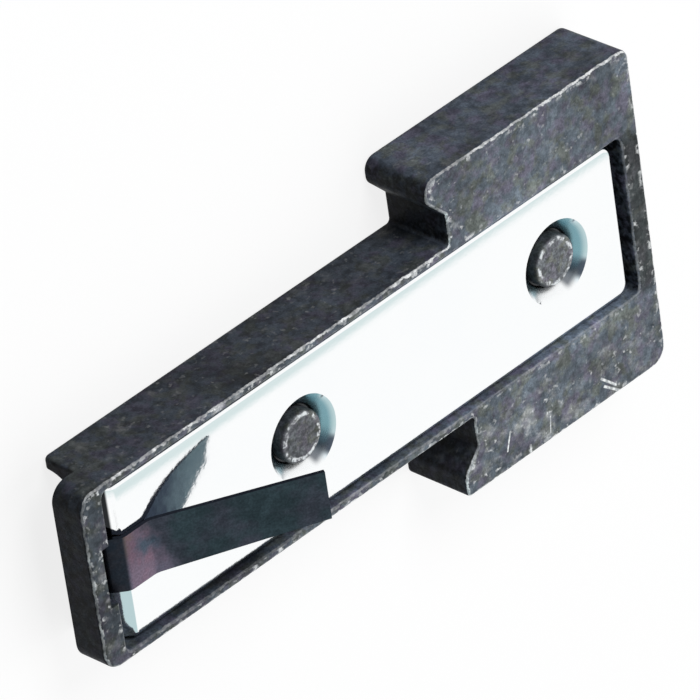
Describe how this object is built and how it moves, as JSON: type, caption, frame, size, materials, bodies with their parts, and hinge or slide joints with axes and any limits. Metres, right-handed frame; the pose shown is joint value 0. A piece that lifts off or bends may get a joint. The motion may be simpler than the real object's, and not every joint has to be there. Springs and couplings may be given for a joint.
{
  "type": "t bolt",
  "caption": "Flat steel T bolt with hooked ears beside its head, a bright plate riveted into its front pocket, and a leaf spring that wraps the plate's end and rises as an arm.",
  "frame": {"origin": "under the middle of the whole part, on the flat back that it lies on", "axes": "+X along the stem towards the head, +Y towards one ear, +Z out of the front plate"},
  "size_m": [0.05, 0.0234, 0.0105],
  "materials": {
    "dark_steel": "dark oxide, worn bright along the front edges",
    "bright_plate": "bright zinc plating, close to a mirror",
    "rivet_steel": "dark oxide, worn on the head's rim",
    "blued_steel": "blued spring steel with a bronze heat tint at the foot"
  },
  "bodies": {
    "root": {"t_body": "dark_steel", "cover_plate": "bright_plate", "rivets": "rivet_steel", "leaf_spring": "blued_steel"}
  },
  "joints": []
}
